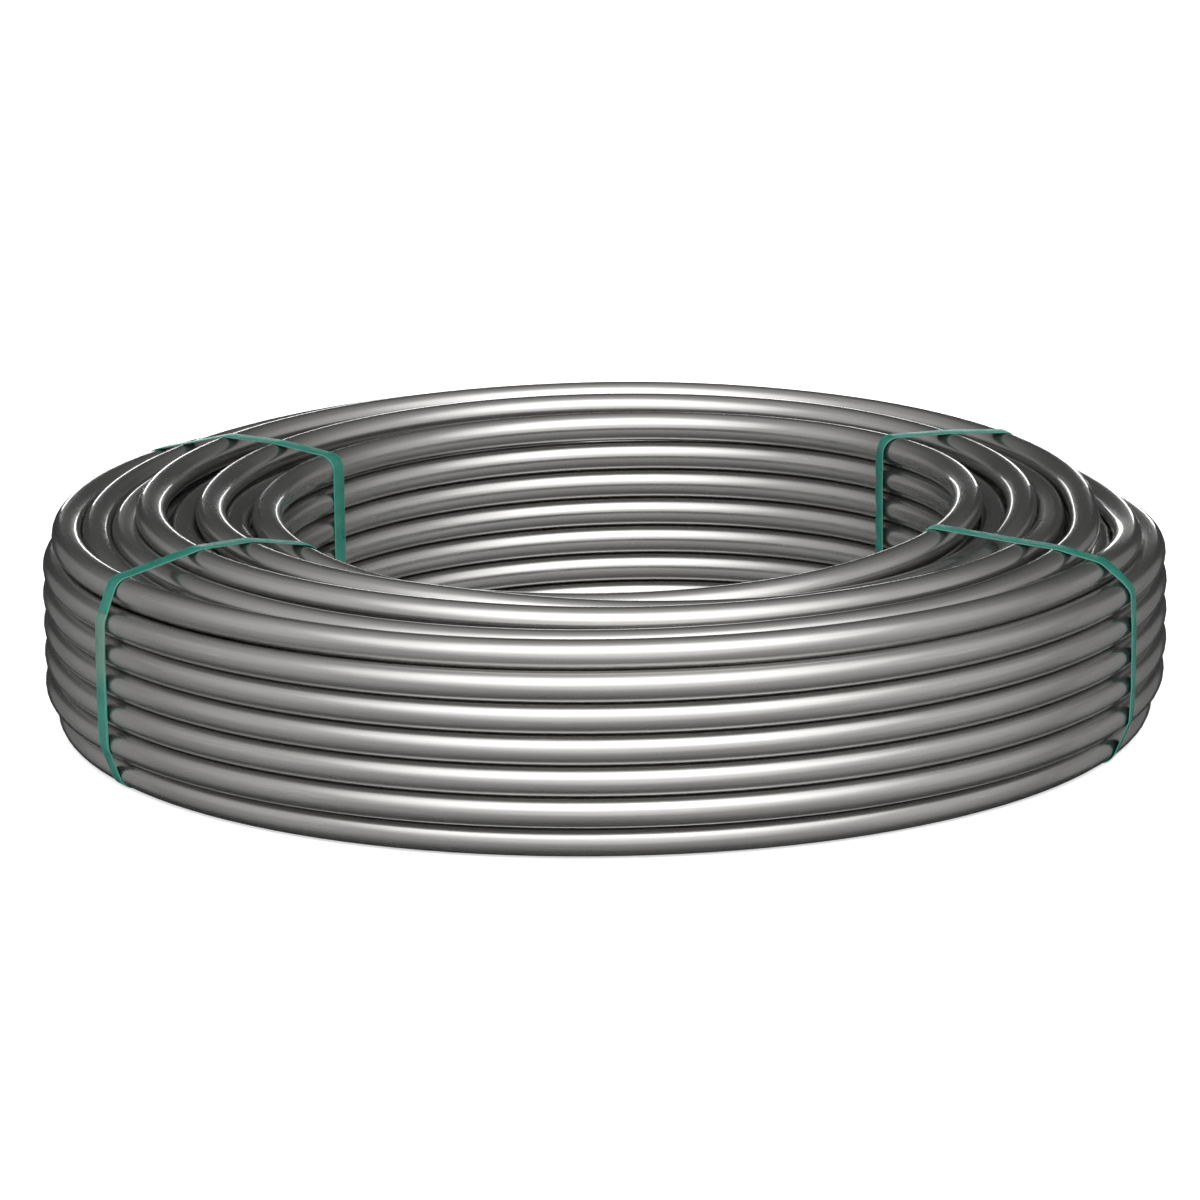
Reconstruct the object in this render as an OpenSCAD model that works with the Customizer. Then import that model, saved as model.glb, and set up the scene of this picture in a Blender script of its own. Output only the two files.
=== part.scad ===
// Coil of multilayer plumbing pipe, wound in layers and tied with four plastic straps.
// It lies flat on its straps: +Z is the coil's axis, and the origin is the centre of its underside.

/* [Pipe] */
// Outside diameter of the pipe
pipe_d = 20; // [14:0.5:26]

/* [Winding] */
// Diameter of the open eye, between the crests of the innermost turns
eye_d = 443; // [340:1:560]
// Number of layers, counted outwards from the eye
layers = 8; // [4:1:12]
// Number of turns in each layer, counted upwards
turns = 7; // [4:1:12]
// Slack between two turns of one layer
turn_gap = 0.1; // [0.05:0.05:1]
// Slack between two layers, on top of the step of a close nest
layer_gap = 0.25; // [0.05:0.05:3]
// How far the middle turns of the outermost layer stand out past its top and bottom turns
bulge = 8.6; // [0:0.2:12]
// How far the top turns of the layers that lie high ride up on their neighbours
crest_lift = 3.4; // [0:0.2:6]
// How far the top turns of the layers that lie low sink between their neighbours
valley_sink = 3; // [0:0.2:6]
// How far the top turn next to the outermost layer slips down towards the coil's shoulder
shoulder_drop = 13; // [0:0.5:16]
// How far the turns of the eye's wall lie below a close nest
eye_drop = 4; // [0:0.2:8]
// Cover of the plain core past the centres of the turns that show
core_cover = 3; // [1:0.5:5]

/* [Straps] */
// Width of a strap
strap_w = 12; // [6:0.5:20]
// Thickness of a strap
strap_t = 0.6; // [0.4:0.1:1.5]
// Clearance between a strap and the crests that it bears on
strap_fit = 0.06; // [0.05:0.01:0.3]
// Bearing of the front left strap, in degrees from +X
front_left_deg = 211; // [200:1:235]
// Bearing of the front right strap, in degrees from +X
front_right_deg = 333; // [305:1:345]
// Bearing of the rear left strap, in degrees from +X
rear_left_deg = 149; // [125:1:160]
// Bearing of the rear right strap, in degrees from +X
rear_right_deg = 30; // [15:1:55]

/* [Hidden] */

pipe_r = pipe_d / 2;
eye_r = eye_d / 2;
turn_pitch = pipe_d + turn_gap;
// in a close nest each turn lies in the groove between two turns of the next layer
layer_step = turn_pitch * sin(60) + layer_gap;
last_layer = layers - 1;
last_turn = turns - 1;
// a flat strap needs room for the curve of the eye's wall across its width
strap_slack = strap_fit + eye_r - sqrt(eye_r * eye_r - strap_w * strap_w / 4);
coil_base = strap_t + strap_slack;
wall_fn = 96;
band_fn = 48;

function layer_r(layer) = eye_r + pipe_r + layer * layer_step;
// every second layer, starting with the innermost, lies half a pitch higher
function layer_rise(layer) = (layer % 2 == 0 ? turn_pitch / 2 : 0) - (layer == 0 ? eye_drop : 0);
function shoulder_slip(layer) = layer == last_layer - 1 ? shoulder_drop : 0;
function top_lift(layer) = (layer % 2 == 0 ? crest_lift : -valley_sink) - shoulder_slip(layer);
function turn_z(layer, turn) = coil_base + pipe_r + layer_rise(layer) + turn * turn_pitch;

// centres of the turns that show in the coil's section, one list for each side of it
eye_wall = [for (turn = [0:last_turn]) [layer_r(0), turn_z(0, turn)]];
top_end = [for (layer = [1:last_layer - 1]) [layer_r(layer), turn_z(layer, last_turn) + top_lift(layer)]];
outer_wall = [for (turn = [last_turn - 1:-1:1]) [layer_r(last_layer) + bulge, turn_z(last_layer, turn)]];
bottom_end = [for (layer = [last_layer - 1:-1:1]) [layer_r(layer), turn_z(layer, 0)]];
// the outermost layer's top turn settles onto the turn below it, behind its crest
outer_top = outer_wall[0] + [-bulge, sqrt(turn_pitch * turn_pitch - bulge * bulge)];
outer_bottom = [layer_r(last_layer), turn_z(last_layer, 0)];
shown_turns = concat(eye_wall, top_end, [outer_top], outer_wall, [outer_bottom], bottom_end);

function shift(centres, step) = [for (centre = centres) centre + step];

module core_section() {
    up = [0, core_cover];
    out = [core_cover, 0];
    polygon(concat(
        shift(eye_wall, -out),
        shift([eye_wall[last_turn]], up),
        shift(top_end, up),
        shift([outer_top], up),
        shift([outer_top], out),
        shift(outer_wall, out),
        shift([outer_bottom], out),
        shift([outer_bottom], -up),
        shift(bottom_end, -up),
        shift([eye_wall[0]], -up)));
}

module pipe_coil() {
    color([0.50, 0.50, 0.49]) {
        rotate_extrude($fn = wall_fn) core_section();
        for (centre = shown_turns)
            rotate_extrude($fn = wall_fn) translate(centre) circle(r = pipe_r, $fn = wall_fn);
    }
}

// the outline that a taut band takes round the coil's section, at a distance from its crests
module band_outline(distance) {
    hull()
        for (centre = shown_turns)
            translate(centre) circle(r = pipe_r + distance, $fn = band_fn);
}

module strap(bearing) {
    color([0.12, 0.43, 0.36])
        rotate([0, 0, bearing]) rotate([90, 0, 0])
            linear_extrude(height = strap_w, center = true)
                difference() {
                    band_outline(strap_slack + strap_t);
                    band_outline(strap_slack);
                }
}

module strap_front_left() strap(front_left_deg);
module strap_front_right() strap(front_right_deg);
module strap_rear_left() strap(rear_left_deg);
module strap_rear_right() strap(rear_right_deg);

pipe_coil();
strap_front_left();
strap_front_right();
strap_rear_left();
strap_rear_right();
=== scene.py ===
# A coil of multilayer pipe tied with four straps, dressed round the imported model.
# Lengths in the winding are in pipe diameters; everything that is built is in metres.
import math

import bpy
import numpy as np
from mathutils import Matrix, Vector


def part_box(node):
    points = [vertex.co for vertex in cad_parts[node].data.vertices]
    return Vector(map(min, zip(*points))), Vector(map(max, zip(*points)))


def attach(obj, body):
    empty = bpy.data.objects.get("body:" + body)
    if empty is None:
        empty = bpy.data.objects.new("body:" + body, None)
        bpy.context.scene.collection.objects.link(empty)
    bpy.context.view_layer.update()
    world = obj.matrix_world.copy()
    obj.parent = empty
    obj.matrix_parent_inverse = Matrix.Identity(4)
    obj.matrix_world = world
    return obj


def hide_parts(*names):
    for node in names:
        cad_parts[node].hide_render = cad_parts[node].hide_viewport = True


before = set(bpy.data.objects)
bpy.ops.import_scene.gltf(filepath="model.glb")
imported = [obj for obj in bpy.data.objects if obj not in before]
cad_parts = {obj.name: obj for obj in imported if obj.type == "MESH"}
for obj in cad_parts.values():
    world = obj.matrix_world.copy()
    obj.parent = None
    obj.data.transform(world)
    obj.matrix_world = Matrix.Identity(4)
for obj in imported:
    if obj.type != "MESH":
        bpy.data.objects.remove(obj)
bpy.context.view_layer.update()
coilLow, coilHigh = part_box("pipe_coil")
noiseSpread = (0.3, 0.7)           # nearly all of a noise lies between these


def addObject(name, data):
    made = bpy.data.objects.new(name, data)
    bpy.context.scene.collection.objects.link(made)
    return made


def openPath(name, points):
    curve = bpy.data.curves.new(name, "CURVE")
    curve.dimensions = "3D"
    spline = curve.splines.new("POLY")
    spline.points.add(len(points) - 1)
    places = np.ones((len(points), 4), np.float32)
    places[:, :3] = points
    spline.points.foreach_set("co", places.ravel())
    return addObject(name, curve)


def newTree(name, takes, inputs, gives):
    # inputs are rows of label, kind, value and lowest value
    tree = bpy.data.node_groups.new(name, "GeometryNodeTree")
    tree.is_modifier = True
    tree.interface.new_socket(name=takes, in_out="INPUT", socket_type="NodeSocketGeometry")
    for label, kind, value, lowest in inputs:
        socket = tree.interface.new_socket(name=label, in_out="INPUT", socket_type=kind)
        socket.default_value = value
        socket.min_value = lowest
    tree.interface.new_socket(name=gives, in_out="OUTPUT", socket_type="NodeSocketGeometry")
    return tree


def storeNode(nodes, name, kind):
    # keeps a value on the points, under the name that the material reads
    node = nodes.new("GeometryNodeStoreNamedAttribute")
    node.data_type = kind
    node.domain = "POINT"
    node.inputs["Name"].default_value = name
    return node


def endTree(tree, mesh, material):
    # every tree ends in smooth shading, real geometry and the piece's own material
    nodes, links = tree.nodes, tree.links
    smooth = nodes.new("GeometryNodeSetShadeSmooth")
    realize = nodes.new("GeometryNodeRealizeInstances")
    finish = nodes.new("GeometryNodeSetMaterial")
    finish.inputs["Material"].default_value = material
    out = nodes.new("NodeGroupOutput")
    links.new(mesh, smooth.inputs["Geometry"])
    links.new(smooth.outputs["Geometry"], realize.inputs["Geometry"])
    links.new(realize.outputs["Geometry"], finish.inputs["Geometry"])
    links.new(finish.outputs["Geometry"], out.inputs[0])


def growPiece(source, tree, values, name):
    # runs the tree on the source and keeps its result as a plain mesh, without the source or a modifier
    modifier = source.modifiers.new(tree.name, "NODES")
    modifier.node_group = tree
    for item in tree.interface.items_tree:
        if item.item_type == "SOCKET" and item.in_out == "INPUT" and item.name in values:
            modifier[item.identifier] = values[item.name]
    evaluated = source.evaluated_get(bpy.context.evaluated_depsgraph_get())
    mesh = bpy.data.meshes.new_from_object(evaluated)
    mesh.name = name
    line = source.data
    bpy.data.objects.remove(source)
    if isinstance(line, bpy.types.Curve):
        bpy.data.curves.remove(line)
    else:
        bpy.data.meshes.remove(line)
    return addObject(name, mesh)


winding = {
    "pipeDiameter": 0.020,
    "layers": 8,
    "outerRadius": 18.17,          # centre line of the outer wall
    "outerPlay": 0.005,            # how far a turn may be pushed out past it
    "eyeRadius": 11.58,            # centre line of the eye's wall
    "eyeShift": (0.42, -0.47),     # the eye isn't quite in the middle of the coil
    "lowest": 0.5,
    "highest": 7.20,
    "stepsPerTurn": 72,
    "relaxRounds": 400,
    "push": 0.6,                   # share of an overlap that is taken out in one round
    "ease": 0.25,                  # how much of a push is spread to the next steps of the pipe
    "hiddenHold": 0.004,           # how firmly hidden turns keep the place of their stations
    "shownHold": 0.28,
    "shownRuns": ((-1, 6.9), (18.3, 20.2), (32.3, 34.3), (46.3, 54)),
}


def fallingLayer(firstTurn, layer, topHeight):
    # five turns that step down, each a diameter lower than the one before
    rows = []
    for k in range(5):
        height = topHeight - k
        for quarter, drop in ((0.25, 0.0), (0.5, 0.4), (0.75, 0.9), (1.0, 1.0)):
            rows.append((firstTurn + k + quarter, layer, max(height - drop, winding["lowest"])))
    return rows


def risingLayer(firstTurn, layer):
    # five turns that climb from the underside, each a diameter higher than the one before
    rows = []
    for k in range(5):
        for quarter, climb in ((0.0, 0.0), (0.25, 0.0), (0.5, 0.5), (0.75, 1.0)):
            rows.append((firstTurn + k + quarter, layer, winding["lowest"] + k + climb))
    return rows


def windingStations():
    # (turn, layer, height): whole turns pass the front, and the layers are counted outwards from the eye
    rows = [(-0.42, 6.6, 0.5), (0.0, 6.5, 0.5), (0.25, 6.4, 0.5)]
    # the outer wall climbs to its top turn, which sinks at the right rear
    rows += [(0.5 + k, 6.95, 1.0 + k) for k in range(5)]
    rows += [(0.75 + k, 7.0, 1.5 + k) for k in range(4)]
    rows += [(1.0 + k, 7.0, 1.5 + k) for k in range(5)]
    rows += [(1.25, 6.85, 1.5)] + [(2.25 + k, 7.0, 2.5 + k) for k in range(3)]
    rows += [(5.22, 6.88, 5.5), (5.26, 6.84, 5.42), (5.3, 6.7, 5.34), (5.36, 6.7, 5.5)]
    # the shoulder turn rides up on the wall, falls away at the right and comes back up behind
    rows += [(5.5, 6.8, 6.0), (5.75, 6.65, 6.42), (6, 6.49, 6.38), (6.07, 6.62, 6.38)]
    rows += [(6.13, 6.47, 6.33), (6.17, 6.28, 6.27), (6.2, 6.25, 6.12), (6.255, 6.08, 5.84)]
    rows += [(6.3, 5.98, 5.82), (6.34, 5.93, 6.15), (6.38, 5.86, 6.42), (6.44, 5.8, 6.68)]
    rows += [(6.5, 5.72, 6.8), (6.75, 5.66, 6.45), (7, 5.86, 5.4)]
    rows += fallingLayer(7, 6, 5.3)
    rows += [(12.25, 5.7, 0.5), (12.5, 5.2, 0.5), (12.75, 5, 0.5)]
    rows += risingLayer(13, 5)
    # two top turns cross from the fifth layer to the fourth
    rows += [(18, 5, 5.5), (18.25, 5.08, 5.5), (18.5, 5.03, 6.1), (18.75, 4.66, 6.5), (19, 5.29, 6.4)]
    rows += [(19.1, 5.28, 6.42), (19.15, 5.15, 6.54), (19.19, 4.9, 6.66), (19.25, 4.31, 6.88)]
    rows += [(19.34, 4.28, 6.98), (19.42, 4.26, 7.1), (19.5, 4.24, 7.18), (19.75, 3.87, 7.05)]
    rows += [(19.93, 3.84, 6.88), (20.02, 3.84, 6.7), (20.12, 3.75, 6.62), (20.25, 3.19, 6.6)]
    rows += [(20.5, 3.9, 6.1), (20.75, 4.0, 5.9), (21, 4.0, 5.6)]
    rows += fallingLayer(21, 4, 5.6)
    rows += [(26.25, 4, 0.6), (26.5, 3.5, 0.5), (26.75, 3, 0.5)]
    rows += risingLayer(27, 3)
    # and two from the third to the second
    rows += [(32, 3, 5.5), (32.25, 2.5, 5.6), (32.5, 2.8, 6.1), (32.75, 2.78, 6.45), (33, 2.9, 6.2)]
    rows += [(33.12, 2.7, 6.4), (33.25, 2.09, 7.05), (33.5, 2.27, 7.2), (33.75, 1.84, 7.05)]
    rows += [(33.93, 2.16, 6.86), (34.01, 2.14, 6.54), (34.08, 2.14, 6.38), (34.15, 1.7, 6.34)]
    rows += [(34.25, 1.05, 6.36), (34.5, 1.9, 6.1), (34.75, 2, 5.75), (35, 2, 5.5)]
    rows += fallingLayer(35, 2, 5.5)
    rows += [(40.25, 2, 0.5), (40.5, 1.5, 0.5), (40.75, 1, 0.5)]
    rows += risingLayer(41, 1)
    # the last layer steps in to the eye's wall and goes down it
    rows += [(46, 1, 5.5), (46.25, 1.0, 5.5), (46.5, 1.2, 6.0), (46.75, 1.08, 6.45), (47, 0.98, 6.58)]
    rows += [(47.07, 0.75, 6.66), (47.15, 0.4, 6.88), (47.25, 0.05, 7.17), (47.5, 0, 7.03), (47.75, 0, 6.85)]
    for quarter in range(24):
        turn = 48 + quarter * 0.25
        if turn < 53.8:
            frontDip = 0.4 if quarter % 4 == 0 else 0.03
            rows.append((turn, 0, 7.03 - (turn - 47.5) - frontDip))
    rows.append((53.85, 0, 0.66))
    rows.sort()
    return np.array(rows)


def smoothThrough(x, y, at):
    # a monotone cubic through the stations, so that no turn overshoots its neighbours
    step = np.diff(x)
    slope = np.diff(y) / step
    tangent = np.zeros_like(y)
    for i in range(1, len(x) - 1):
        if slope[i - 1] * slope[i] > 0:
            before = 2 * step[i] + step[i - 1]
            after = step[i] + 2 * step[i - 1]
            tangent[i] = (before + after) / (before / slope[i - 1] + after / slope[i])
    i = np.clip(np.searchsorted(x, at) - 1, 0, len(x) - 2)
    u = (at - x[i]) / step[i]
    fromFirst = (2 * u**3 - 3 * u**2 + 1) * y[i] + (u**3 - 2 * u**2 + u) * step[i] * tangent[i]
    fromNext = (3 * u**2 - 2 * u**3) * y[i + 1] + (u**3 - u**2) * step[i] * tangent[i + 1]
    return fromFirst + fromNext


def eyeRadiusAt(angle):
    shiftX, shiftY = winding["eyeShift"]
    along = shiftX * np.sin(angle) - shiftY * np.cos(angle)
    return along + np.sqrt(winding["eyeRadius"] ** 2 - (shiftX**2 + shiftY**2 - along**2))


def holdFirmness(turn):
    # how firmly each stretch keeps its place while the turns are pushed apart: those that show stay put
    fadeTurns = 0.25
    firm = np.full(len(turn), winding["hiddenHold"])
    for start, end in winding["shownRuns"]:
        ramp = np.clip(np.minimum((turn - start) / fadeTurns, (end - turn) / fadeTurns) + 1, 0, 1)
        firm = np.maximum(firm, winding["shownHold"] * ramp)
    return firm


def windPipe():
    # returns the turn, radius and height of each step along the pipe
    steps = winding["stepsPerTurn"]
    stations = windingStations()
    index = np.arange(math.ceil(stations[0, 0] * steps), math.floor(stations[-1, 0] * steps) + 1)
    turn = index / steps
    layer = smoothThrough(stations[:, 0], stations[:, 1], turn)
    wantHeight = smoothThrough(stations[:, 0], stations[:, 2], turn)
    inner = eyeRadiusAt(2 * math.pi * turn)
    wantRadius = inner + (winding["outerRadius"] - inner) * layer / (winding["layers"] - 1)
    radius, height = wantRadius.copy(), wantHeight.copy()
    firm = holdFirmness(turn)
    # one row for each turn and one column for each bearing
    row, column = index // steps - index[0] // steps, index % steps
    rows = row[-1] + 1
    away = 1e4 + 100.0 * np.arange(rows)[:, None] + np.zeros(steps)      # where no pipe passes
    notItself = np.eye(rows)[:, :, None] * 10      # keeps a turn from pushing itself
    for _ in range(winding["relaxRounds"]):
        radii, heights = away.copy(), np.zeros((rows, steps))
        radii[row, column] = radius
        heights[row, column] = height
        apartR = radii[:, None] - radii[None]
        apartZ = heights[:, None] - heights[None]
        distance = np.hypot(apartR, apartZ) + notItself
        overlap = np.clip(1.0 - distance, 0, None)
        share = winding["push"] / np.sqrt(np.maximum((overlap > 0).sum(1), 1))
        radius = radius + ((overlap * apartR / distance).sum(1) * share)[row, column]
        height = height + ((overlap * apartZ / distance).sum(1) * share)[row, column]
        for values, wanted in ((radius, wantRadius), (height, wantHeight)):
            moved = values - wanted
            eased = moved.copy()
            eased[1:-1] += winding["ease"] * (moved[:-2] - 2 * moved[1:-1] + moved[2:])
            values[:] = wanted + eased * (1 - firm)
        height = np.clip(height, winding["lowest"], winding["highest"])
        radius = np.clip(radius, inner, winding["outerRadius"] + winding["outerPlay"])
    return turn, radius, height


def pipePoint(turn, radius, height):
    # turns run from the front towards +X, seen from above
    size = winding["pipeDiameter"]
    angle = 2 * math.pi * turn
    return np.stack([
        radius * np.sin(angle) * size,
        -radius * np.cos(angle) * size,
        coilLow.z + height * size,
    ], -1)


windTurn, windRadius, windHeight = windPipe()
windPoints = pipePoint(windTurn, windRadius, windHeight)
pipeLength = 2 * math.pi * windRadius.sum() / winding["stepsPerTurn"] * winding["pipeDiameter"]
print("winding:", len(windTurn), "steps,", round(pipeLength, 1), "m of pipe")


pipe = {
    "wall": 0.002,
    "boreDepth": 0.018,            # the bore is sunk only as deep as it can be seen
    "sides": 22,
    # steps for each turn, fine where the pipe shows and coarse inside the coil
    "segments": {"outer": 126, "top": 114, "eye": 102, "bottom": 72, "hidden": 44},
    "topRuns": ((5.2, 7.15), (18.3, 20.3), (32.3, 34.4), (46.2, 48.3)),
    "outerEnd": 5.3,               # the turn where the outer wall ends
    "eyeStart": 47.1,              # the turn where the eye's wall starts
    "bottomHeight": 1.3,
    # marks that follow the pipe: how far they are drawn out along it, their scale and their detail
    "dieLines": (0.014, 520.0, 1.0),
    "rubs": (0.05, 560.0, 1.0),
    "clouds": (0.2, 40.0, 1.5),
    "rubLevels": (0.72, 0.8),
    "darkGrey": (0.322, 0.316, 0.305, 1),
    "paleGrey": (0.36, 0.355, 0.347, 1),
    "rubbedGrey": (0.5, 0.5, 0.49, 1),
    "rubbedShare": 0.3,
    "roughness": (0.235, 0.295),
    "rubbedRoughness": 0.08,
    "metallic": 0.95,
    "coatRoughness": 0.05,
    "bumpStrength": 0.05,
    "bumpHeight": 0.00005,
    "cloudBump": 1.5,
}


def segmentsAt(turn, height):
    counts = pipe["segments"]
    density = np.full(len(turn), float(counts["hidden"]))
    density[height < pipe["bottomHeight"]] = counts["bottom"]
    density[turn > pipe["eyeStart"]] = counts["eye"]
    for start, end in pipe["topRuns"]:
        density[(turn > start) & (turn < end)] = counts["top"]
    density[turn < pipe["outerEnd"]] = counts["outer"]
    return density


def pipePath():
    density = segmentsAt(windTurn, windHeight)
    along = np.concatenate([[0], np.cumsum((density[1:] + density[:-1]) / 2 * np.diff(windTurn))])
    count = int(round(along[-1]))
    turn = np.interp(np.linspace(0, along[-1], count + 1), along, windTurn)
    radius = smoothThrough(windTurn, windRadius, turn)
    height = smoothThrough(windTurn, windHeight, turn)
    return pipePoint(turn, radius, height)


def pipeTree(material):
    tree = newTree("sweptPipe", "Path", (
        ("Outer radius", "NodeSocketFloat", 0.01, 0.0),
        ("Wall", "NodeSocketFloat", 0.002, 0.0),
        ("Bore depth", "NodeSocketFloat", 0.02, 0.0),
        ("Sides", "NodeSocketInt", 22, 5),
    ), "Pipe")
    nodes, links = tree.nodes, tree.links
    given = nodes.new("NodeGroupInput")
    upright = nodes.new("GeometryNodeSetCurveNormal")
    upright.mode = "Z_UP"
    length = nodes.new("GeometryNodeSplineParameter")
    keepLength = storeNode(nodes, "alongPipe", "FLOAT")
    links.new(given.outputs["Path"], upright.inputs["Curve"])
    links.new(upright.outputs["Curve"], keepLength.inputs["Geometry"])
    links.new(length.outputs["Length"], keepLength.inputs["Value"])
    ring = nodes.new("GeometryNodeCurvePrimitiveCircle")
    place = nodes.new("GeometryNodeInputPosition")
    keepPlace = storeNode(nodes, "sectionPlace", "FLOAT_VECTOR")
    links.new(given.outputs["Sides"], ring.inputs["Resolution"])
    links.new(given.outputs["Outer radius"], ring.inputs["Radius"])
    links.new(ring.outputs["Curve"], keepPlace.inputs["Geometry"])
    links.new(place.outputs["Position"], keepPlace.inputs["Value"])
    sweep = nodes.new("GeometryNodeCurveToMesh")
    sweep.inputs["Fill Caps"].default_value = True
    links.new(keepLength.outputs["Geometry"], sweep.inputs["Curve"])
    links.new(keepPlace.outputs["Geometry"], sweep.inputs["Profile Curve"])
    # only a cut end has more than four corners: it is inset by the wall, then sunk for the bore
    corners = nodes.new("GeometryNodeInputMeshFaceNeighbors")
    isEnd = nodes.new("FunctionNodeCompare")
    isEnd.data_type = "INT"
    isEnd.operation = "GREATER_THAN"
    isEnd.inputs["B"].default_value = 4
    inset = nodes.new("GeometryNodeExtrudeMesh")
    inset.inputs["Offset Scale"].default_value = 0.0
    links.new(corners.outputs["Vertex Count"], isEnd.inputs["A"])
    links.new(sweep.outputs["Mesh"], inset.inputs["Mesh"])
    links.new(isEnd.outputs["Result"], inset.inputs["Selection"])
    outerRadius = given.outputs["Outer radius"]
    boreRadius = mathStep(tree, "SUBTRACT", outerRadius, given.outputs["Wall"])
    narrow = nodes.new("GeometryNodeScaleElements")
    links.new(inset.outputs["Mesh"], narrow.inputs["Geometry"])
    links.new(inset.outputs["Top"], narrow.inputs["Selection"])
    links.new(mathStep(tree, "DIVIDE", boreRadius, outerRadius), narrow.inputs["Scale"])
    sink = nodes.new("GeometryNodeExtrudeMesh")
    links.new(narrow.outputs["Geometry"], sink.inputs["Mesh"])
    links.new(inset.outputs["Top"], sink.inputs["Selection"])
    links.new(mathStep(tree, "MULTIPLY", given.outputs["Bore depth"], -1.0), sink.inputs["Offset Scale"])
    endTree(tree, sink.outputs["Mesh"], material)
    return tree


def plugIn(tree, socket, value):
    if isinstance(value, bpy.types.NodeSocket):
        tree.links.new(value, socket)
    else:
        socket.default_value = value


def mathStep(tree, operation, *values):
    node = tree.nodes.new("ShaderNodeMath")
    node.operation = operation
    for socket, value in zip(node.inputs, values):
        plugIn(tree, socket, value)
    return node.outputs["Value"]


def newMaterial(name):
    material = bpy.data.materials.new(name)
    material.use_nodes = True
    tree = material.node_tree
    tree.nodes.clear()
    output = tree.nodes.new("ShaderNodeOutputMaterial")
    shader = tree.nodes.new("ShaderNodeBsdfPrincipled")
    tree.links.new(shader.outputs["BSDF"], output.inputs["Surface"])
    return material, tree, shader


def attributeNode(tree, name):
    attribute = tree.nodes.new("ShaderNodeAttribute")
    attribute.attribute_name = name
    return attribute


def combineStep(tree, x, y, z):
    node = tree.nodes.new("ShaderNodeCombineXYZ")
    for socket, value in zip(node.inputs, (x, y, z)):
        plugIn(tree, socket, value)
    return node.outputs["Vector"]


def noiseStep(tree, place, scale, detail):
    node = tree.nodes.new("ShaderNodeTexNoise")
    node.inputs["Scale"].default_value = scale
    node.inputs["Detail"].default_value = detail
    tree.links.new(place, node.inputs["Vector"])
    return node.outputs["Fac"]


def rangeStep(tree, value, start, end, toStart=0.0, toEnd=1.0):
    node = tree.nodes.new("ShaderNodeMapRange")
    plugIn(tree, node.inputs["Value"], value)
    node.inputs["From Min"].default_value = start
    node.inputs["From Max"].default_value = end
    node.inputs["To Min"].default_value = toStart
    node.inputs["To Max"].default_value = toEnd
    return node.outputs["Result"]


def colourMix(tree, factor, first, second):
    node = tree.nodes.new("ShaderNodeMix")
    node.data_type = "RGBA"
    plugIn(tree, node.inputs["Factor"], factor)
    plugIn(tree, node.inputs[6], first)      # the colour sockets are the seventh and eighth
    plugIn(tree, node.inputs[7], second)
    return node.outputs[2]


def addBump(tree, shader, height, strength, distance):
    bump = tree.nodes.new("ShaderNodeBump")
    bump.inputs["Strength"].default_value = strength
    bump.inputs["Distance"].default_value = distance
    tree.links.new(height, bump.inputs["Height"])
    tree.links.new(bump.outputs["Normal"], shader.inputs["Normal"])


def marksAlong(tree, along, x, y, marks):
    stretch, scale, detail = marks
    place = combineStep(tree, mathStep(tree, "MULTIPLY", along, stretch), x, y)
    return noiseStep(tree, place, scale, detail)


def silverPipeMaterial():
    # die lines run with the pipe, rubs are short, and handling leaves broad cloudy marks
    material, tree, shader = newMaterial("silverPipe")
    along = attributeNode(tree, "alongPipe").outputs["Fac"]
    section = tree.nodes.new("ShaderNodeSeparateXYZ")
    tree.links.new(attributeNode(tree, "sectionPlace").outputs["Vector"], section.inputs["Vector"])
    x, y = section.outputs["X"], section.outputs["Y"]
    lines = marksAlong(tree, along, x, y, pipe["dieLines"])
    rubs = marksAlong(tree, along, x, y, pipe["rubs"])
    clouds = marksAlong(tree, along, x, y, pipe["clouds"])
    rubbed = rangeStep(tree, rubs, *pipe["rubLevels"])
    body = colourMix(tree, rangeStep(tree, lines, *noiseSpread), pipe["darkGrey"], pipe["paleGrey"])
    rubbedPart = mathStep(tree, "MULTIPLY", rubbed, pipe["rubbedShare"])
    tree.links.new(colourMix(tree, rubbedPart, body, pipe["rubbedGrey"]), shader.inputs["Base Color"])
    rough = rangeStep(tree, clouds, *noiseSpread, *pipe["roughness"])
    rougher = mathStep(tree, "MULTIPLY", rubbed, pipe["rubbedRoughness"])
    tree.links.new(mathStep(tree, "ADD", rough, rougher), shader.inputs["Roughness"])
    height = mathStep(tree, "ADD", lines, mathStep(tree, "MULTIPLY", clouds, pipe["cloudBump"]))
    addBump(tree, shader, height, pipe["bumpStrength"], pipe["bumpHeight"])
    shader.inputs["Metallic"].default_value = pipe["metallic"]
    shader.inputs["Coat Weight"].default_value = 1.0
    shader.inputs["Coat Roughness"].default_value = pipe["coatRoughness"]
    return material


coiledPipe = growPiece(openPath("pipePath", pipePath()), pipeTree(silverPipeMaterial()), {
    "Outer radius": winding["pipeDiameter"] / 2,
    "Wall": pipe["wall"],
    "Bore depth": pipe["boreDepth"],
    "Sides": pipe["sides"],
}, "coiledPipe")
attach(coiledPipe, "root")
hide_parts("pipe_coil")
print("pipe:", len(coiledPipe.data.polygons), "faces")


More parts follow.
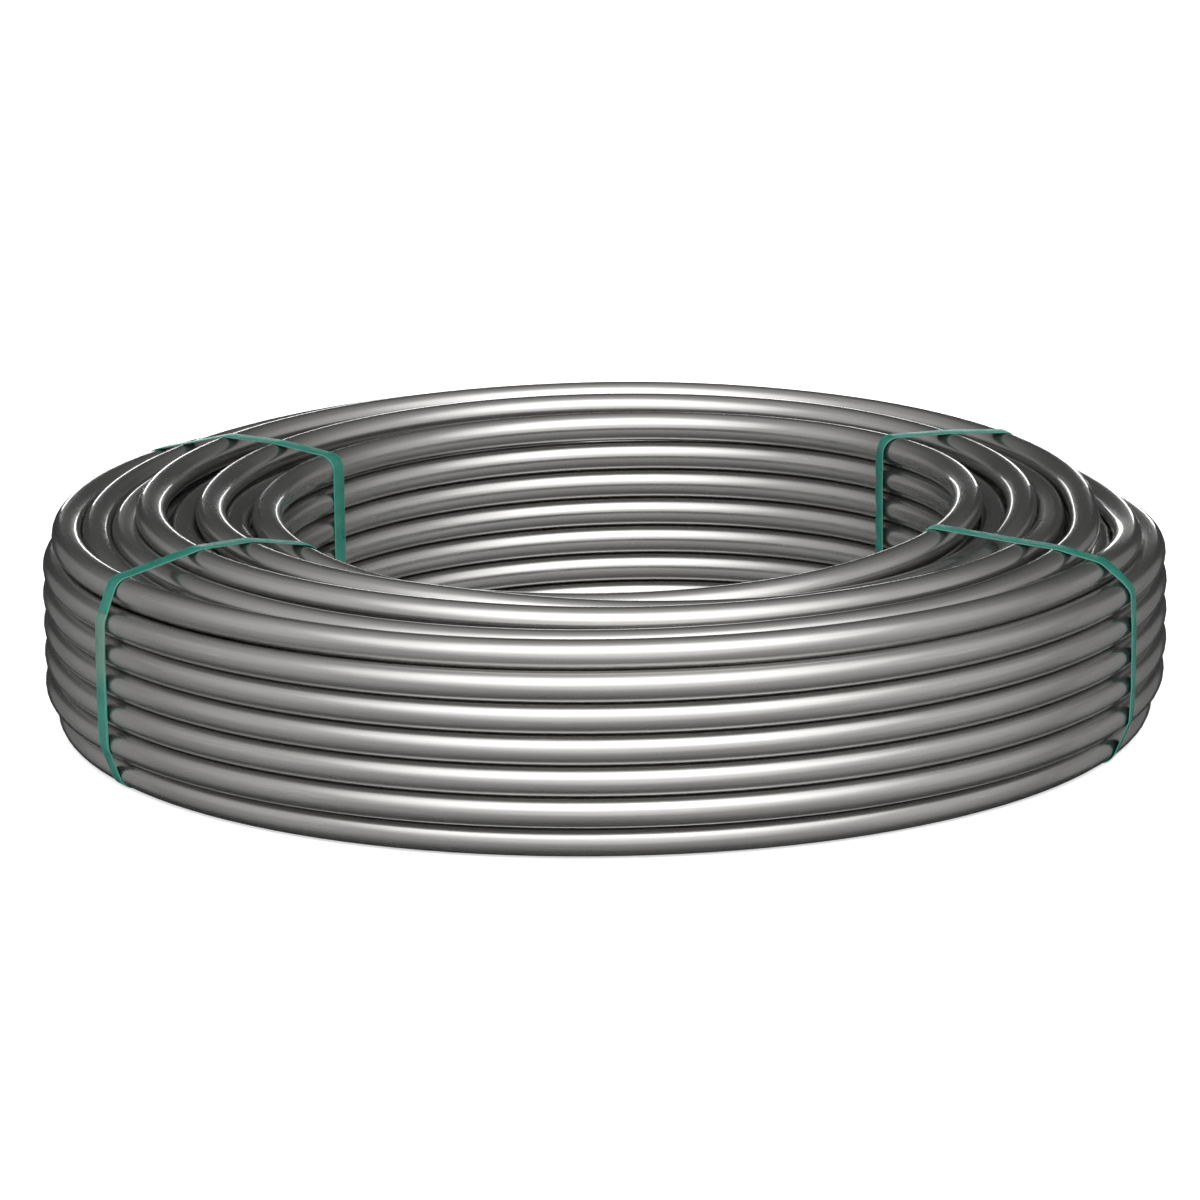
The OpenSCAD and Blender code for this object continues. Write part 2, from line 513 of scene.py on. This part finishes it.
strap = {
    "width": 0.012,
    "thickness": 0.00058,
    "edgeRadius": 0.00018,
    "slack": 0.00014,
    "spacing": 0.0016,             # between two steps along the band
    "crestSteps": 72,              # steps round each turn that the band may bear on
    "bow": 0.0010,                 # how far the band stands off the middle of the outer wall
    "bowReach": 3.2,               # half the height that it bows over, in pipe diameters
    "bowStart": 6.6,               # and how far past its inner end the outer wall starts
    "innerStart": 11.0,            # the band's plane runs between these two radii, in pipe diameters
    "outerEnd": 18.7,
    "searchSpan": (-3, 9),         # and meets its turns this far along, counted from the first of them
    "slantLimit": 0.5,
    "swingReach": 1.6,             # how far below the top the sideways swing is full, in pipe diameters
    "overlap": 0.088,              # how far the two ends of a band lie over each other
    "overlapGap": 0.00004,
    "pressStart": 0.35,            # where along the overlap the pressed weld begins to show
    "pressFade": 0.25,
    "ridgePitch": 0.0017,
    "ridgeDepth": 0.00012,
    "bumpStrength": 0.5,
    "margin": (0.0049, 0.0056),    # the smooth edge, from the middle of the band
    "clouds": (70.0, 3.0),         # scale and detail of the cloudy tone
    "green": (0.007, 0.105, 0.077, 1),
    "lightGreen": (0.014, 0.147, 0.11, 1),
    "edgeGreen": (0.06, 0.3, 0.22, 1),
    "edgeShare": 0.4,
    "frost": (0.115, 0.165, 0.13, 1),
    "frostLevels": (0.7, 1.5),
    "frostShare": 0.55,
    "roughness": (0.26, 0.38),
    # bearings in degrees from the front towards +X, on the eye's wall, across the top and on the outer
    # wall, then the side that the welded overlap is on and the height of its middle
    "runs": {
        "strap_front_left": (-59.2, -59.2, -59.4, "outer", 0.074),
        "strap_front_right": (57.5, 62.7, 65.2, "eye", 0.05),
        "strap_rear_left": (-120.7, -121.8, -121.8, "outer", 0.06),
        "strap_rear_right": (122.4, 117.5, 117.5, "outer", 0.07),
    },
}


def turnsLeft(first, second, third):
    ahead = (second[0] - first[0]) * (third[1] - second[1])
    beside = (second[1] - first[1]) * (third[0] - second[0])
    return ahead - beside > 0


def convexHull(points):
    points = sorted(set(points))
    hull = []
    for sequence in (points, points[::-1]):
        chain = []
        for point in sequence:
            while len(chain) > 1 and not turnsLeft(chain[-2], chain[-1], point):
                chain.pop()
            chain.append(point)
        hull += chain[:-1]
    return hull


def strapOutline(start, across, side):
    # the taut loop that a flat band takes round the turns, in the upright plane through start and across
    size = winding["pipeDiameter"]
    offset = windPoints[:, :2] @ side[:2] - start[:2] @ side[:2]
    forward = windPoints[:, :2] @ across[:2] - start[:2] @ across[:2]
    first, last = strap["searchSpan"]
    nearSide = (forward[:-1] > first * size) & (forward[:-1] < last * size)
    crossing = np.where((offset[:-1] * offset[1:] <= 0) & nearSide)[0]
    gap = size / 2 + strap["slack"] + strap["thickness"] / 2
    coilMiddle = (coilLow.z + coilHigh.z) / 2
    crests = []
    for i in crossing:
        share = offset[i] / (offset[i] - offset[i + 1])
        u = forward[i] + share * (forward[i + 1] - forward[i])
        z = windPoints[i, 2] + share * (windPoints[i + 1, 2] - windPoints[i, 2])
        step = windPoints[i + 1] - windPoints[i]
        tangent = step / np.linalg.norm(step)
        square = abs(float(tangent[:2] @ side[:2]))
        widen = 1 / max(square, strap["slantLimit"])      # a turn that is crossed at a slant is wider
        level = (z - coilMiddle) / (strap["bowReach"] * size)
        if u > strap["bowStart"] * size:
            u += strap["bow"] * max(0.0, 1 - level * level)
        for k in range(strap["crestSteps"]):
            angle = 2 * math.pi * k / strap["crestSteps"]
            crests.append((u + gap * widen * math.cos(angle), z + gap * math.sin(angle)))
    return convexHull(crests)


def evenSteps(outline, spacing):
    # even steps round the outline, which starts in the middle of the underside
    loop = np.array(outline)
    closed = np.vstack([loop, loop[:1]])
    run = np.concatenate([[0], np.cumsum(np.hypot(*np.diff(closed, axis=0).T))])
    at = np.linspace(0, run[-1], int(run[-1] / spacing), endpoint=False)
    steps = np.stack([np.interp(at, run, closed[:, 0]), np.interp(at, run, closed[:, 1])], -1)
    fromMiddle = np.abs(steps[:, 0] - steps[:, 0].mean())
    middle = np.argmin(steps[:, 1] * 100 + fromMiddle)      # the height counts far more than the distance
    return np.roll(steps, -middle, 0)


def swingRows(rows, swing):
    # turns each row about the coil's axis by its own angle
    x, y = rows[:, 0].copy(), rows[:, 1].copy()
    rows[:, 0] = x * np.cos(swing) - y * np.sin(swing)
    rows[:, 1] = x * np.sin(swing) + y * np.cos(swing)


def strapPath(name):
    # the band's centre line, the direction that each point of it faces, and the points under the overlap
    size = winding["pipeDiameter"]
    eyeBearing, topBearing, outerBearing, weldSide, weldHeight = strap["runs"][name]
    inner, outer = math.radians(eyeBearing), math.radians(topBearing)
    start = np.array((math.sin(inner), -math.cos(inner), 0)) * strap["innerStart"] * size
    end = np.array((math.sin(outer), -math.cos(outer), 0)) * strap["outerEnd"] * size
    across = (end - start) / np.linalg.norm(end - start)
    side = np.array((-across[1], across[0], 0))
    up = np.array((0, 0, 1))
    loop = evenSteps(strapOutline(start, across, side), strap["spacing"])
    tangent = np.roll(loop, -1, 0) - np.roll(loop, 1, 0)
    tangent /= np.linalg.norm(tangent, axis=1)[:, None]
    centre = start + across * loop[:, :1] + up * loop[:, 1:]
    facing = across * tangent[:, 1:] - up * tangent[:, :1]
    # the outer run may hang to one side of the run across the top, and the underside joins the two
    reach = (loop[:, 0] - loop[:, 0].min()) / np.ptp(loop[:, 0])
    below = np.clip((loop[:, 1].max() - loop[:, 1]) / (strap["swingReach"] * size), 0, 1)
    swing = np.radians(outerBearing - topBearing) * reach * below * below * (3 - 2 * below)
    swingRows(centre, swing)
    swingRows(facing, swing)
    outside = loop[:, 0] > loop[:, 0].mean()
    onSide = outside if weldSide == "outer" else ~outside
    middle = np.argmin(np.abs(loop[:, 1] - weldHeight) + np.where(onSide, 0, 1))
    half = int(strap["overlap"] / 2 / strap["spacing"])
    return centre, facing, np.arange(middle - half, middle + half + 1)


def strapLine(name):
    # a wire mesh for the tree: the closed band and its open overlap, each point with its own facing
    centre, facing, tail = strapPath(name)
    lifted = centre[tail] + facing[tail] * (strap["thickness"] + strap["overlapGap"])
    count, extra = len(centre), len(tail)
    edges = [(i, (i + 1) % count) for i in range(count)]
    edges += [(count + i, count + i + 1) for i in range(extra - 1)]
    mesh = bpy.data.meshes.new(name + "Line")
    mesh.from_pydata([tuple(p) for p in np.vstack([centre, lifted])], edges, [])
    outward = mesh.attributes.new("outward", "FLOAT_VECTOR", "POINT")
    outward.data.foreach_set("vector", np.vstack([facing, facing[tail]]).astype(np.float32).ravel())
    # the weld is pressed into one end of the overlap, and shows in both layers
    press = np.clip((np.linspace(0, 1, extra) - strap["pressStart"]) / strap["pressFade"], 0, 1)
    pressed = np.zeros(count + extra, np.float32)
    pressed[count:] = press
    pressed[tail] = press
    weld = mesh.attributes.new("weldPress", "FLOAT", "POINT")
    weld.data.foreach_set("value", pressed)
    return addObject(name + "Line", mesh)


def strapTree(material):
    tree = newTree("flatBand", "Line", (
        ("Width", "NodeSocketFloat", 0.012, 0.0),
        ("Thickness", "NodeSocketFloat", 0.0006, 0.0),
        ("Edge radius", "NodeSocketFloat", 0.0002, 0.0),
    ), "Band")
    nodes, links = tree.nodes, tree.links
    given = nodes.new("NodeGroupInput")
    line = nodes.new("GeometryNodeMeshToCurve")
    outward = nodes.new("GeometryNodeInputNamedAttribute")
    outward.data_type = "FLOAT_VECTOR"
    outward.inputs["Name"].default_value = "outward"
    turned = nodes.new("GeometryNodeSetCurveNormal")
    turned.mode = "FREE"
    length = nodes.new("GeometryNodeSplineParameter")
    keepAlong = storeNode(nodes, "alongStrap", "FLOAT")
    links.new(given.outputs["Line"], line.inputs["Mesh"])
    links.new(line.outputs["Curve"], turned.inputs["Curve"])
    links.new(outward.outputs["Attribute"], turned.inputs["Normal"])
    links.new(turned.outputs["Curve"], keepAlong.inputs["Geometry"])
    links.new(length.outputs["Length"], keepAlong.inputs["Value"])
    section = nodes.new("GeometryNodeCurvePrimitiveQuadrilateral")
    rounded = nodes.new("GeometryNodeFilletCurve")
    rounded.mode = "POLY"
    rounded.inputs["Count"].default_value = 2
    place = nodes.new("GeometryNodeInputPosition")
    parts = nodes.new("ShaderNodeSeparateXYZ")
    keepAcross = storeNode(nodes, "acrossStrap", "FLOAT")
    links.new(given.outputs["Thickness"], section.inputs["Width"])
    links.new(given.outputs["Width"], section.inputs["Height"])
    links.new(section.outputs["Curve"], rounded.inputs["Curve"])
    links.new(given.outputs["Edge radius"], rounded.inputs["Radius"])
    links.new(rounded.outputs["Curve"], keepAcross.inputs["Geometry"])
    links.new(place.outputs["Position"], parts.inputs["Vector"])
    links.new(parts.outputs["Y"], keepAcross.inputs["Value"])
    sweep = nodes.new("GeometryNodeCurveToMesh")
    sweep.inputs["Fill Caps"].default_value = True
    links.new(keepAlong.outputs["Geometry"], sweep.inputs["Curve"])
    links.new(keepAcross.outputs["Geometry"], sweep.inputs["Profile Curve"])
    endTree(tree, sweep.outputs["Mesh"], material)
    return tree


def greenStrapMaterial():
    material, tree, shader = newMaterial("greenStrap")
    along = attributeNode(tree, "alongStrap").outputs["Fac"]
    across = attributeNode(tree, "acrossStrap").outputs["Fac"]
    press = attributeNode(tree, "weldPress").outputs["Fac"]
    # two crossing sets of fine ridges, rolled into both faces but not into the smooth edges
    ridges = []
    for slope in (1.0, -1.0):
        lean = mathStep(tree, "MULTIPLY_ADD", across, slope, along)
        phase = mathStep(tree, "MULTIPLY", lean, 2 * math.pi / strap["ridgePitch"])
        ridges.append(mathStep(tree, "SINE", phase))
    margin = rangeStep(tree, mathStep(tree, "ABSOLUTE", across), *strap["margin"])
    inside = mathStep(tree, "SUBTRACT", 1.0, margin)
    relief = mathStep(tree, "MULTIPLY", mathStep(tree, "MAXIMUM", *ridges), inside)
    addBump(tree, shader, relief, strap["bumpStrength"], strap["ridgeDepth"])
    # the plastic is cloudy, lighter at its edges and frosted where it is welded
    cloud = noiseStep(tree, combineStep(tree, along, across, 0.0), *strap["clouds"])
    body = colourMix(tree, rangeStep(tree, cloud, *noiseSpread), strap["green"], strap["lightGreen"])
    edgePart = mathStep(tree, "MULTIPLY", margin, strap["edgeShare"])
    edged = colourMix(tree, edgePart, body, strap["edgeGreen"])
    pressCloud = mathStep(tree, "ADD", press, cloud)
    frost = rangeStep(tree, pressCloud, *strap["frostLevels"], 0.0, strap["frostShare"])
    tree.links.new(colourMix(tree, frost, edged, strap["frost"]), shader.inputs["Base Color"])
    rough = rangeStep(tree, cloud, *noiseSpread, *strap["roughness"])
    tree.links.new(rough, shader.inputs["Roughness"])
    return material


bandTree = strapTree(greenStrapMaterial())
for strapName in strap["runs"]:
    band = growPiece(strapLine(strapName), bandTree, {
        "Width": strap["width"],
        "Thickness": strap["thickness"],
        "Edge radius": strap["edgeRadius"],
    }, strapName + "_band")
    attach(band, "root")
    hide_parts(strapName)
    print("strap:", strapName, len(band.data.polygons), "faces")


studio = {
    "floorSize": 12.0,
    "floorColour": (0.9, 0.9, 0.9, 1),
    "floorGlow": 0.5,
    "cameraPlace": (-0.0033, -4.2609, 1.1581),
    "cameraTurn": (75.7135, 0.7278, -0.1853),
    "cameraLens": 197.7,
    "backPanel": {"y": 2.8, "lowEdge": 0.13, "width": 2.0, "height": 0.25, "radiance": 3.4},
    # bearing from the front towards +X, height above the floor, and power, then how far off its middle
    # each light starts and is full, all in degrees apart from the power
    "softLights": (
        (-29, 50, 1.2, 35, 18),
        (2, 48, 1.2, 36, 18),
        (36, 50, 1.3, 35, 18),
        (2, 38, 1.0, 58, 28),
        (-2, 42, 0.5, 135, 30),
        (4, 19, 0.12, 50, 10),
        (-58, 16, 0.3, 95, 20),
        (-66, 31, 0.27, 44, 6),
        (66, 12, 0.25, 80, 15),
        (58, 32, 0.2, 52, 6),
        (74, 22, 0.19, 34, 6),
        (42, -25, 0.13, 62, 10),
        (-96, -2, 0.1, 46, 34),
        (96, -3, 0.1, 46, 34),
        (-130, -8, 0.19, 27, 20),
        (130, -8, 0.2, 27, 20),
        (-120, 80, 0.2, 50, 15),
        (40, 80, 0.3, 32, 10),
        (20, -40, 0.09, 100, 20),
        (180, -60, 0.04, 90, 30),
        (180, -8, 3.0, 10, 5),
        (0, 60, 0.03, 180, 90),
    ),
}


def buildFloor():
    # its glow keeps it pale under the coil, and the pipe doesn't mirror it
    size = studio["floorSize"]
    mesh = bpy.data.meshes.new("studioFloor")
    corners = [(-size, -size, 0), (size, -size, 0), (size, size, 0), (-size, size, 0)]
    mesh.from_pydata(corners, [], [(0, 1, 2, 3)])
    floor = addObject("studioFloor", mesh)
    floor.visible_glossy = False
    material, _, shader = newMaterial("paleFloor")
    shader.inputs["Base Color"].default_value = studio["floorColour"]
    shader.inputs["Emission Color"].default_value = (1, 1, 1, 1)
    shader.inputs["Emission Strength"].default_value = studio["floorGlow"]
    shader.inputs["Roughness"].default_value = 0.9
    mesh.materials.append(material)


def buildBackPanel():
    # a lit panel behind the coil, which draws the thin bright lines on its top turns
    panel = studio["backPanel"]
    light = bpy.data.lights.new("backPanel", "AREA")
    light.shape = "RECTANGLE"
    light.size = panel["width"]
    light.size_y = panel["height"]
    light.energy = panel["radiance"] * math.pi * panel["width"] * panel["height"]
    lamp = addObject("backPanel", light)
    lamp.location = (0, panel["y"], panel["lowEdge"] + panel["height"] / 2)
    lamp.rotation_euler = (math.radians(-90), 0, 0)
    lamp.visible_camera = False


def buildCamera():
    lens = bpy.data.cameras.new("studioCamera")
    lens.sensor_width = 36.0
    lens.lens = studio["cameraLens"]
    camera = addObject("studioCamera", lens)
    camera.location = studio["cameraPlace"]
    camera.rotation_euler = [math.radians(angle) for angle in studio["cameraTurn"]]
    bpy.context.scene.camera = camera


def bearingVector(bearing, rise):
    turn, lift = math.radians(bearing), math.radians(rise)
    return Vector((math.sin(turn) * math.cos(lift), -math.cos(turn) * math.cos(lift), math.sin(lift)))


def softLight(tree, outwards, bearing, rise, power, edge, core):
    # nothing at the angle "edge" off its middle, and full at the angle "core"
    towards = tree.nodes.new("ShaderNodeVectorMath")
    towards.operation = "DOT_PRODUCT"
    towards.inputs[1].default_value = bearingVector(bearing, rise)
    fade = tree.nodes.new("ShaderNodeMapRange")
    fade.interpolation_type = "SMOOTHSTEP"
    fade.inputs["From Min"].default_value = math.cos(math.radians(edge))
    fade.inputs["From Max"].default_value = math.cos(math.radians(core))
    fade.inputs["To Max"].default_value = power
    tree.links.new(outwards, towards.inputs[0])
    tree.links.new(towards.outputs["Value"], fade.inputs["Value"])
    return fade.outputs["Result"]


def buildSky():
    # wide soft lights, high in front, with weaker fills round them; the camera itself sees plain white
    world = bpy.data.worlds.new("studioWorld")
    world.use_nodes = True
    tree = world.node_tree
    nodes, links = tree.nodes, tree.links
    nodes.clear()
    output = nodes.new("ShaderNodeOutputWorld")
    mix = nodes.new("ShaderNodeMixShader")
    rays = nodes.new("ShaderNodeLightPath")
    plain = nodes.new("ShaderNodeBackground")
    plain.inputs["Color"].default_value = (1, 1, 1, 1)
    studioLight = nodes.new("ShaderNodeBackground")
    outwards = nodes.new("ShaderNodeTexCoord").outputs["Generated"]
    total = 0.0
    for light in studio["softLights"]:
        total = mathStep(tree, "ADD", total, softLight(tree, outwards, *light))
    links.new(total, studioLight.inputs["Strength"])
    links.new(rays.outputs["Is Camera Ray"], mix.inputs[0])
    links.new(studioLight.outputs[0], mix.inputs[1])
    links.new(plain.outputs[0], mix.inputs[2])
    links.new(mix.outputs[0], output.inputs["Surface"])
    bpy.context.scene.world = world


buildFloor()
buildSky()
buildBackPanel()
buildCamera()
bpy.context.scene.view_settings.view_transform = "Standard"
print("studio:", len(studio["softLights"]), "soft lights and a back panel")

bpy.context.view_layer.update()
print("scene: done")
